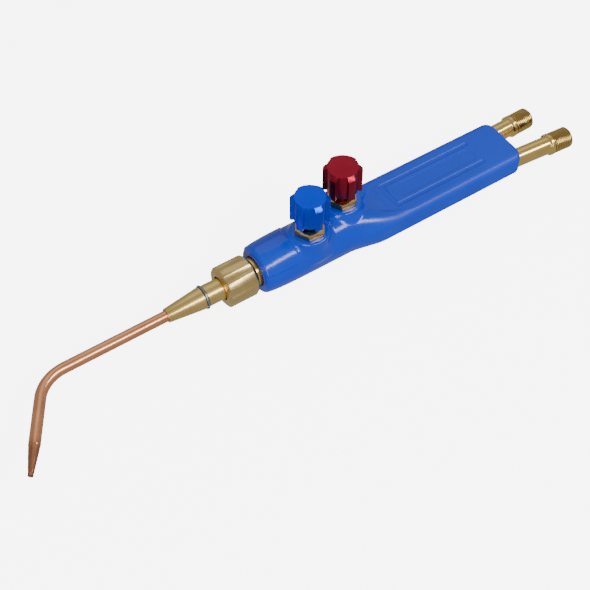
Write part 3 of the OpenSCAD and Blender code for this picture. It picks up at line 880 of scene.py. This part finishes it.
def inlet(gas):
    """A hose inlet: plain stem, collar, relief groove and hose thread, with a coned seat."""
    start, along, _ = inlet_line(gas)
    stem_l = STEM_L[gas]
    collar_t, relief_t, seat_r = 2.9, 0.8, 4.6
    collar_r, relief_r = HOSE_THREAD_R + 0.15, HOSE_THREAD_R - 0.9
    thread_x = stem_l + collar_t + relief_t
    end = thread_x + HOSE_THREAD_L
    profile = [
        (-STEM_DEPTH, GAS_R), (-STEM_DEPTH, STEM_R), (stem_l, STEM_R), (stem_l + 0.9, collar_r),
        (thread_x - relief_t, collar_r), (thread_x - relief_t, relief_r), (thread_x, relief_r),
        (thread_x, HOSE_THREAD_R), (end - 1, HOSE_THREAD_R), (end, HOSE_THREAD_R - 1),
        (end, seat_r), (end - seat_r + GAS_R, GAS_R),
    ]
    thread = (thread_x + 0.1, end - 0.5, HOSE_PITCH, 0.9, THREAD_HAND[gas])
    look = brass_with_root_shade(gas + "_brass_with_root_shade", thread_x, HOSE_THREAD_R - 0.75, HOSE_THREAD_R - 0.15)
    return turned(gas + "_inlet_turned", profile, line_place(start, along, (0, 0, 1)), look, "body",
                  [gas + "_inlet"], edge=0.18, step=0.14, outer=6.95, thread=thread)


def spindle(gas):
    """The valve spindle, with its thread inside the body and a plain shaft up to the knob."""
    low, high = corners(gas + "_spindle")
    thread_z, thread_end = 6.8, 11.0
    shaft_r, tip_r, thread_r = SPINDLE_R, 2.4, POCKET_R - GAP
    profile = [
        (low[2], 0.0), (low[2], tip_r - 0.4), (low[2] + 0.4, tip_r), (thread_z, tip_r),
        (thread_z, thread_r), (thread_end, thread_r), (thread_end, shaft_r),
        (high[2] - 0.4, shaft_r), (high[2], shaft_r - 0.4), (high[2], 0.0),
    ]
    return turned(gas + "_spindle_turned", profile, on_valve(valve_centre(gas)), steel, gas + "_stem",
                  [gas + "_spindle"], edge=0.1, closed=False, step=0.14, outer=4.5,
                  thread=(thread_z, thread_end, 1.0, 0.5, 1), segments=64)


# ---------------------------------------------------------------- the nozzle

STRAIGHT_L = 67.5 + SOCKET_L
BEND_R = 25.0
BEND_TURN = math.radians(57)
BEND_L = BEND_R * BEND_TURN
LEG_L = 31.5
SWAGE_S = STRAIGHT_L + BEND_L + LEG_L


def stained_tip():
    """Darkens the copper towards the flame, past the start of the swage."""
    tree = copper.node_tree
    shader = tree.nodes["Principled BSDF"]
    colour = shader.inputs["Base Color"].links[0].from_socket
    along = socket(tree, "ShaderNodeSeparateXYZ", 0, Vector=coordinates(tree, True))
    stained_copper = (0.46, 0.20, 0.11)
    stain = between(tree, along, 0, 1, SWAGE_S - 5, SWAGE_S + 3)
    tree.links.new(mixed(tree, stain, colour, stained_copper), shader.inputs["Base Color"])


def nozzle():
    """A bent copper tube with a swaged outlet. The bar runs from its socket end at s = 0."""
    tube_r, bore_r, tip_r, orifice_r = TUBE_R, 1.7, 1.7, 0.6
    swage_l, land_l, step_in = 19.0, 1.5, 0.12
    socket_x = MIXER_LOW[0] + SOCKET_L
    neck_r = tube_r - step_in
    end_s = SWAGE_S + swage_l

    def place(bar):
        s = bar[:, 0]
        turn = np.clip((s - STRAIGHT_L) / BEND_R, 0, BEND_TURN)
        run = np.minimum(s, STRAIGHT_L)
        leg = np.maximum(s - STRAIGHT_L - BEND_L, 0)
        ahead = np.stack([-np.cos(turn), -np.sin(turn)], axis=1)
        outward = np.stack([-np.sin(turn), np.cos(turn)], axis=1)
        centre = np.stack([socket_x - run, np.zeros_like(run)], axis=1)
        centre = centre + BEND_R * np.stack([-np.sin(turn), np.cos(turn) - 1], axis=1)
        flat = centre + leg[:, None] * ahead + bar[:, 1:2] * outward
        return np.column_stack([flat, bar[:, 2]])

    profile = [
        (0, bore_r), (0, tube_r), (SWAGE_S - 0.3, tube_r), (SWAGE_S, neck_r),
    ]
    for t in np.linspace(0.06, 1, 16):
        ease = 0.88 * t + 0.12 * t * t
        profile.append((SWAGE_S + t * (swage_l - land_l), neck_r - (neck_r - tip_r) * ease))
    profile += [(end_s, tip_r), (end_s, orifice_r), (end_s - 3, orifice_r), (SWAGE_S - 0.1, bore_r)]
    return turned("nozzle_tube", profile, place, copper, "mixer_unit", ["nozzle"],
                  edge=0.12, step=0.9, segments=64)


# ---------------------------------------------------------------- carried-over CAD nodes

CAD_LOOKS = {
    "oxygen_tube": brown_copper, "fuel_tube": brown_copper,
    "oxygen_seat": plain_brass, "fuel_seat": plain_brass, "injector": plain_brass,
    "oxygen_packing": packing, "fuel_packing": packing,
    "oxygen_packing_washer": steel, "fuel_packing_washer": steel,
    "oxygen_valve_ball": steel, "fuel_valve_ball": steel,
    "oxygen_knob_screw": steel, "fuel_knob_screw": steel,
    "large_oring": rubber, "small_oring": rubber,
}


def dress_cad_nodes():
    for name, look in CAD_LOOKS.items():
        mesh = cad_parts[name].data
        mesh.materials.clear()
        mesh.materials.append(look)


# ---------------------------------------------------------------- table, light and camera

FLOOR_GLOW = 6.0
WORLD_GLOW = 0.42
TABLE_HALF = 6.0
TABLE_GAP = 0.0005
CAMERA_AZIMUTH = -33.84
CAMERA_ELEVATION = 51.02
CAMERA_DISTANCE = 0.81134
CAMERA_TARGET = Vector((-0.00257, -0.02891, 0.0))


def add_floor():
    """A pale seamless table that glows a little, like a lit sweep of white paper."""
    look = bpy.data.materials.new("white_table")
    look.use_nodes = True
    shader = look.node_tree.nodes["Principled BSDF"]
    shader.inputs["Base Color"].default_value = (0.9, 0.9, 0.9, 1)
    shader.inputs["Roughness"].default_value = 0.9
    shader.inputs["Specular IOR Level"].default_value = 0.0
    shader.inputs["Emission Color"].default_value = (1, 1, 1, 1)
    shader.inputs["Emission Strength"].default_value = FLOOR_GLOW
    half = TABLE_HALF
    height = cad_low[2] - TABLE_GAP
    mesh = bpy.data.meshes.new("table")
    mesh.from_pydata([(-half, -half, height), (half, -half, height), (half, half, height),
                      (-half, half, height)], [], [(0, 1, 2, 3)])
    mesh.materials.append(look)
    table = bpy.data.objects.new("table", mesh)
    bpy.context.scene.collection.objects.link(table)
    table.visible_diffuse = False
    table.visible_glossy = False


def add_light(name, direction, distance, size, radiance):
    """A soft box that faces the middle of the torch from a direction."""
    lamp = bpy.data.lights.new(name, "AREA")
    lamp.shape = "RECTANGLE"
    lamp.size, lamp.size_y = size
    lamp.energy = radiance * math.pi * size[0] * size[1]
    box = bpy.data.objects.new(name, lamp)
    towards = Vector(direction).normalized()
    middle = (Vector(cad_low) + Vector(cad_high)) / 2
    box.location = middle + towards * distance
    box.rotation_mode = "QUATERNION"
    box.rotation_quaternion = (-towards).to_track_quat("-Z", "Y")
    bpy.context.scene.collection.objects.link(box)
    return box


def add_world():
    world = bpy.data.worlds.new("studio")
    world.use_nodes = True
    back = world.node_tree.nodes["Background"]
    back.inputs["Color"].default_value = (1, 1, 1, 1)
    back.inputs["Strength"].default_value = WORLD_GLOW
    bpy.context.scene.world = world


def add_camera():
    """The camera stands high, in front and to the left of the torch."""
    azimuth, elevation = math.radians(CAMERA_AZIMUTH), math.radians(CAMERA_ELEVATION)
    back = Vector((math.sin(azimuth) * math.cos(elevation), -math.cos(azimuth) * math.cos(elevation),
                   math.sin(elevation)))
    data = bpy.data.cameras.new("camera")
    data.sensor_width = 36
    data.lens = 83.35
    camera = bpy.data.objects.new("camera", data)
    camera.location = CAMERA_TARGET + back * CAMERA_DISTANCE
    camera.rotation_mode = "QUATERNION"
    camera.rotation_quaternion = (-back).to_track_quat("-Z", "Y")
    bpy.context.scene.collection.objects.link(camera)
    bpy.context.scene.camera = camera


add_camera()
add_floor()
add_world()
add_light("strip_box", (0.35, -0.6, 0.72), 1.5, (1.6, 0.26), radiance=14)
add_light("back_box", (0.35, 0.52, 0.78), 1.5, (1.2, 1.2), radiance=0.45)
add_light("front_box", (-0.75, -0.6, 0.3), 1.3, (0.8, 0.8), radiance=6)

make_casting()
KNOB_FINISH = {"oxygen": (blue_anodised, "blue_anodised"), "fuel": (red_anodised, "red_anodised")}
for gas, (look, slot) in KNOB_FINISH.items():
    knob(gas, look)
    gland_nut(gas)
    spindle(gas)
union_nut()
nose()
groove_shade_ring()
mixer()
retaining_ring()
stained_tip()
nozzle()
inlet("oxygen")
inlet("fuel")
dress_cad_nodes()
hand_worn(enamel, NECK_X + 14, GRIP_X + 8, 0.3)
